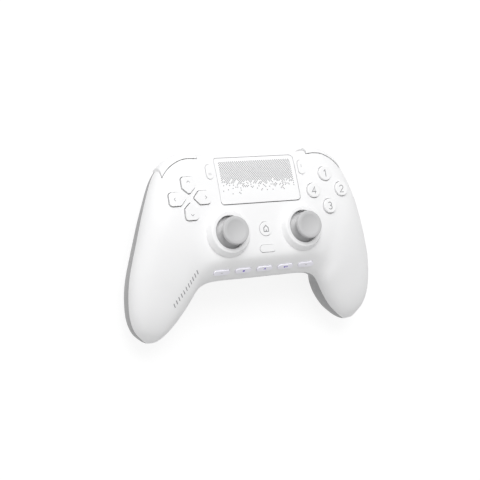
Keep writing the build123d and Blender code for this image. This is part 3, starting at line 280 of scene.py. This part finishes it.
dress(moulded("grey_rear_shell", (0.40, 0.40, 0.405), roughness=0.5, grain=0.0004, relief=0.00003),
      "rear_shell")


# Touch plate
# A plate of white plastic with small grey squares printed on its far part; they thin out towards the player.
# It tilts on its far edge and clicks. The sensor board is glued under it.

SQUARE_PITCH = 1.28 * MM
SQUARE_HALF = 0.29 * MM
SQUARE_GREY = rgb(0.27, 0.27, 0.28)
FULL_SHARE = 1.08                # just over 1, so that no square is missing from the dense part
CHANCE_SEED = 7.0
PRINT_HALF_WIDTH = 23.9 * MM
plate_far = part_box("touchpad_plate")[1].y
PRINT_FAR = plate_far - 2.0 * MM
PRINT_DENSE = plate_far - 13.0 * MM
PRINT_NEAR = plate_far - 23.0 * MM


def squares(place, base):
    """Squares on a lattice turned by 45 degrees. A square is left out where the random number of its cell
    is above the share that is still printed at that distance from the far edge."""
    x = place.add("SeparateXYZ", {"Vector": place}, output="X")
    y = x.other("Y")
    u = (x + y) / SQUARE_PITCH
    v = (x - y) / SQUARE_PITCH
    cell_u, cell_v = u.rounded(), v.rounded()
    across = ((u - cell_u) + (v - cell_v)) * (SQUARE_PITCH / 2)
    along = ((u - cell_u) - (v - cell_v)) * (SQUARE_PITCH / 2)
    inside = (abs(across) < SQUARE_HALF) * (abs(along) < SQUARE_HALF)
    cell_x = (cell_u + cell_v) * (SQUARE_PITCH / 2)
    cell_y = (cell_u - cell_v) * (SQUARE_PITCH / 2)
    cell = place.add("CombineXYZ", {"X": cell_u, "Y": cell_v, "Z": CHANCE_SEED})
    chance = place.add("TexWhiteNoise", {"Vector": cell}, {"noise_dimensions": "3D"})
    share = cell_y.soft_step(PRINT_NEAR, PRINT_DENSE)
    kept = chance < share * share * FULL_SHARE
    field = (abs(cell_x) < PRINT_HALF_WIDTH) * (cell_y < PRINT_FAR)
    return mixed_colour(inside * kept * field, base, SQUARE_GREY)


dress(moulded("touch_plate_print", WHITE, roughness=0.5, grain=0.00012, paint=squares), "touchpad_plate")


# Thumb sticks
# A white collar lines each well. The stick's neck and its dome are light grey, and the cap is soft rubber,
# moulded over the neck, with a shallow dish for the thumb.

dress(moulded("white_collar", WHITE, roughness=0.32, relief=0.000003), "left_stick_ring", "right_stick_ring")
dress(moulded("grey_cap_rubber", (0.54, 0.54, 0.545), roughness=0.62, grain=0.00025, relief=0.00001),
      "left_stick_cap", "right_stick_cap")
dress(moulded("grey_neck_plastic", (0.58, 0.58, 0.585), roughness=0.35, relief=0.000003),
      "left_stick_stem", "right_stick_stem")


# Direction pad
# Four petals on one plate, moulded in glossier plastic than the shell. It rocks on a small ball and presses
# the rubber mat, and each petal has a small grey arrow near its outer end.

ARROW_OUT = 9.6 * MM
ARROW = stroke([(-0.95, -0.4), (0, 0.5), (0.95, -0.4)], 0.42)
PETALS = {0: (0, 1), 90: (-1, 0), 180: (0, -1), 270: (1, 0)}      # turn of the arrow: way out of the middle


def middle(node):
    """The middle of a CAD node's box, in metres."""
    low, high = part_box(node)
    return (low + high) / 2


key_plastic = moulded("white_key_plastic", WHITE, roughness=0.28, grain=0.0003, relief=0.000002, coat=0.15)
dress(key_plastic, "dpad")
pad = middle("dpad")
arrows = [(*landing("dpad", pad.x + u * ARROW_OUT, pad.y + v * ARROW_OUT), turn, [ARROW])
          for turn, (u, v) in PETALS.items()]
film("dpad_arrows", "dpad", arrows, ink("pale_grey_ink", (0.42, 0.42, 0.43)))


# Face buttons
# Four round keys of the same glossy plastic, which slide in the front shell and rest on the rubber mat.
# Each has a plain numeral, printed as a thin grey line.

NUMERAL_LINE = 0.5
NUMERALS = {
    "top": [[(-0.9, 1.2), (0.2, 2.1), (0.2, -2.1)]],
    "right": [np.concatenate([arc(0, 0.9, 1.2, 165, -30), [(-1.3, -2.1), (1.35, -2.1)]])],
    "bottom": [np.concatenate([arc(-0.1, 1.02, 1.08, 150, -80), arc(-0.1, -0.98, 1.16, 80, -150)])],
    "left": [[(0.65, -2.1), (0.65, 2.1), (-1.35, -0.9), (1.45, -0.9)]],
}
numeral_ink = ink("numeral_ink", (0.30, 0.30, 0.31))
for side, lines in NUMERALS.items():
    button = "face_button_" + side
    dress(key_plastic, button)
    mark = (*landing(button, *middle(button).xy), 0, [stroke(line, NUMERAL_LINE) for line in lines])
    film(button + "_numeral", button, [mark], numeral_ink)


# Small keys
# Home, profile and menu keys on the face, and five narrow keys on the sloping band. Home has a plain house
# on it, the menu keys have bars, and the narrow keys, whose plastic has a faint violet painted glow that
# makes them read lighter than the band, have small violet or grey pips.

SMALL_KEYS = ("home_button", "profile_button", "menu_button_left", "menu_button_right")
FRONT_KEYS = tuple(f"front_key_{number}" for number in range(1, 6))
BAND_TOP_Y = -18.8 * MM          # where the middle of a narrow key's top lies
HOUSE = [(-1.5, -1.7), (1.5, -1.7), (1.5, 0.4), (0, 1.9), (-1.5, 0.4)]
DOOR = [(0, -1.7), (0, -0.6)]
BOLD, THIN = 0.5, 0.3            # widths of lines in mm
dress(key_plastic, *SMALL_KEYS)
painted_glow_plastic = moulded("painted_glow_key_plastic", (0.90, 0.89, 0.94), roughness=0.3, relief=0.000002, coat=0.15)
painted_glow_shader = painted_glow_plastic.node_tree.nodes["Principled BSDF"]
# Painted glow: a faint violet emission brightens the narrow keys, though no lamp lies behind them.
painted_glow_shader.inputs["Emission Color"].default_value = rgb(0.72, 0.68, 1.0)
painted_glow_shader.inputs["Emission Strength"].default_value = 0.06
dress(painted_glow_plastic, *FRONT_KEYS)
violet_ink = ink("violet_ink", (0.20, 0.13, 0.62))
faint_ink = ink("faint_grey_ink", (0.62, 0.62, 0.63))


def bar(y, length, width):
    """A level line across the key's middle."""
    return stroke([(-length / 2, y), (length / 2, y)], width)


def dot(x, y, radius):
    """A round pip: a closed ring so broad that it almost fills its middle."""
    return stroke(arc(x, y, radius / 2, 0, 345, 24), radius * 0.98, closed=True)


key_marks = {
    "home_button": (numeral_ink, [stroke(HOUSE, BOLD, closed=True), stroke(DOOR, BOLD)]),
    "menu_button_left": (faint_ink, [bar(-1.0, 2.0, THIN), bar(-1.8, 2.0, THIN)]),
    "menu_button_right": (faint_ink, [stroke([(0, -0.2), (0, 1.6)], BOLD)]),
    "front_key_1": (faint_ink, [bar(0, 1.6, BOLD)]),
    "front_key_2": (violet_ink, [dot(0.1, 0, 0.75)]),
    "front_key_3": (violet_ink, [stroke([(-0.6, -0.45), (0.1, 0.6), (0.7, -0.45)], 0.45)]),
    "front_key_4": (violet_ink, [dot(-0.6, 0, 0.65), dot(0.9, 0.1, 0.5)]),
    "front_key_5": (faint_ink, [bar(0, 1.6, BOLD)]),
}
for key, (finish, strokes) in key_marks.items():
    x, y = middle(key).xy
    if key in FRONT_KEYS:
        y = BAND_TOP_Y
    film(key + "_mark", key, [(*landing(key, x, y), 0, strokes)], finish)


# Bumpers and triggers
# All four are moulded in white plastic. The bumpers are cut from the shoulder's own form, and the triggers
# swing on pins in the rear shell.

dress(moulded("white_shoulder_plastic", WHITE, roughness=0.34, relief=0.000003),
      "left_bumper", "right_bumper", "left_trigger", "right_trigger")


# Inside
# Seen only through the gaps: gimbals and switches of black plastic, the frame that carries them, rubber
# mats, enamelled boards, the wrapped battery, and motors, weights, pins, springs and screws of metal.

RUN_PITCH = 1 / 180              # metres between two copper runs, about
RUN_HALF = 0.02                  # share of the noise that a run takes to each side
MASKED_COPPER = rgb(0.03, 0.22, 0.12)


def enamel(place, base):
    """Copper runs under the solder mask: thin bands of noise, a little lighter."""
    noise = place.add("TexNoise", {"Vector": place, "Scale": 1 / RUN_PITCH, "Detail": 1.0})
    return mixed_colour(abs(noise - 0.5) < RUN_HALF, base, MASKED_COPPER)


def both(*pieces):
    """The names of the left and the right node of each piece."""
    return [f"{side}_{piece}" for side in ("left", "right") for piece in pieces]


dress(moulded("black_plastic", (0.035, 0.035, 0.037), roughness=0.45),
      *both("stick_housing", "stick_lever", "stick_yoke"),
      "headset_jack", "dome_switches", "key_switches", "bumper_switches", "dpad_pivot")
dress(moulded("frame_plastic", (0.2, 0.2, 0.21), roughness=0.5), "mid_frame")
dress(moulded("mat_rubber", (0.35, 0.35, 0.36), roughness=0.7, relief=0.00001), *both("button_mat"))
dress(moulded("board_enamel", (0.02, 0.14, 0.08), roughness=0.35, paint=enamel),
      "main_board", "key_board", "touchpad_board")
dress(moulded("battery_wrap", (0.1, 0.12, 0.2), roughness=0.3, grain=0.002, relief=0.00002), "battery")
dress(moulded("plain_steel", (0.55, 0.55, 0.57), roughness=0.32, metallic=1.0, grain=0.0003),
      "usb_port", "shell_screws", *both("rumble_motor", "trigger_pin", "trigger_spring"))
dress(moulded("sintered_weight", (0.42, 0.40, 0.36), roughness=0.45, metallic=1.0, grain=0.0004,
              relief=0.00002), *both("rumble_weight"))


# Floor
# A pale sheet of paper under the object. The camera sees it as white with the object's soft shadow on it,
# and the object is lit by it as by plain grey paper.

FLOOR_HALF = 4.0
FLOOR_DROP = 0.0005              # metres below the part
PAPER = rgb(0.65)
SHADOW_PAPER = rgb(0.22)         # the share of the seen floor's white that a shadow can take away
PAPER_GLOW = 0.84


def sight_rays(start):
    """1 for the rays that come from the camera, straight or by way of a shine or a clear piece."""
    rays = start.add("LightPath", output="Is Camera Ray")
    seen_rays = rays + rays.other("Is Glossy Ray") + rays.other("Is Transmission Ray")
    return start.maths("MINIMUM", seen_rays, 1.0)


floor_corners = [(x * FLOOR_HALF, y * FLOOR_HALF, -FLOOR_DROP)
                 for x, y in ((-1, -1), (1, -1), (1, 1), (-1, 1))]
floor_mesh = bpy.data.meshes.new("floor")
floor_mesh.from_pydata(floor_corners, [], [(0, 1, 2, 3)])
floor = bpy.data.objects.new("floor", floor_mesh)
bpy.context.scene.collection.objects.link(floor)
paper = bpy.data.materials.new("floor_paper")
paper.use_nodes = True
floor_mesh.materials.append(paper)
start = Link(paper.node_tree)
shader = paper.node_tree.nodes["Principled BSDF"]
shader.inputs["Base Color"].default_value = PAPER
shader.inputs["Roughness"].default_value = 0.9
shader.inputs["Specular IOR Level"].default_value = 0.0
shadowed = start.add("BsdfDiffuse", {"Color": SHADOW_PAPER})
glow = start.add("Emission", {"Color": rgb(1.0), "Strength": PAPER_GLOW})
seen = start.add("AddShader", {0: shadowed, 1: glow})
mixed = start.add("MixShader", {0: sight_rays(start), 1: Link(start.tree, shader.outputs[0]), 2: seen})
start.tree.links.new(mixed.socket, paper.node_tree.nodes["Material Output"].inputs[0])


# Light
# Even light from all round, a little stronger from the left and from beyond the object, and one large soft
# lamp above and beyond it. The camera sees plain white instead, straight or in a shine.

SKY = 0.58
SKY_TO_LEFT, SKY_TO_FAR = 0.15, 0.10
LAMP_PLACE, LAMP_AIM = Vector((-0.25, 0.7, 1.3)), Vector((0, 0, 0.03))
LAMP_SIZE = 0.9
LAMP_WATTS = 12.3

world = bpy.data.worlds.new("studio")
bpy.context.scene.world = world
world.use_nodes = True
start = Link(world.node_tree)
around = world.node_tree.nodes["Background"]
way = start.add("TexCoord", output="Generated")
way_right = start.add("SeparateXYZ", {"Vector": way}, output="X")
level = SKY - way_right * SKY_TO_LEFT + way_right.other("Y") * SKY_TO_FAR
start.tree.links.new(level.as_grey().socket, around.inputs["Color"])
backdrop = start.add("Background", {"Color": rgb(1.0), "Strength": 1.0})
mixed = start.add("MixShader", {0: sight_rays(start), 1: Link(start.tree, around.outputs[0]), 2: backdrop})
start.tree.links.new(mixed.socket, world.node_tree.nodes["World Output"].inputs[0])

lamp = bpy.data.lights.new("key_lamp", "AREA")
lamp.size = LAMP_SIZE
lamp.energy = LAMP_WATTS
key_lamp = bpy.data.objects.new("key_lamp", lamp)
key_lamp.location = LAMP_PLACE
key_lamp.rotation_euler = (LAMP_AIM - LAMP_PLACE).to_track_quat("-Z", "Y").to_euler()
bpy.context.scene.collection.objects.link(key_lamp)


# Camera
# Its place and its three turns were fitted to the photograph: the view looks down on the face from the left
# and is rolled about its own axis.

YAW, PITCH, ROLL = np.radians([28.067, 6.0, -8.151])
CAMERA_PLACE = Vector((-0.31617, -0.068145, 0.611148))
SENSOR_WIDTH, FOCAL_LENGTH = 36.0, 83.18         # mm

back = Vector((-np.sin(YAW) * np.cos(PITCH), -np.sin(PITCH), np.cos(YAW) * np.cos(PITCH)))
right = Vector((0, 1, 0)).cross(back).normalized()
up = back.cross(right)
turned_right = np.cos(ROLL) * right + np.sin(ROLL) * up
turned_up = np.cos(ROLL) * up - np.sin(ROLL) * right
view = bpy.data.cameras.new("photograph")
view.sensor_width = SENSOR_WIDTH
view.lens = FOCAL_LENGTH
view.clip_start = 0.01
camera = bpy.data.objects.new("photograph", view)
camera_turn = Matrix((turned_right, turned_up, back)).transposed().to_4x4()
camera.matrix_world = Matrix.Translation(CAMERA_PLACE) @ camera_turn
bpy.context.scene.collection.objects.link(camera)
bpy.context.scene.camera = camera
bpy.context.scene.view_settings.view_transform = "Standard"
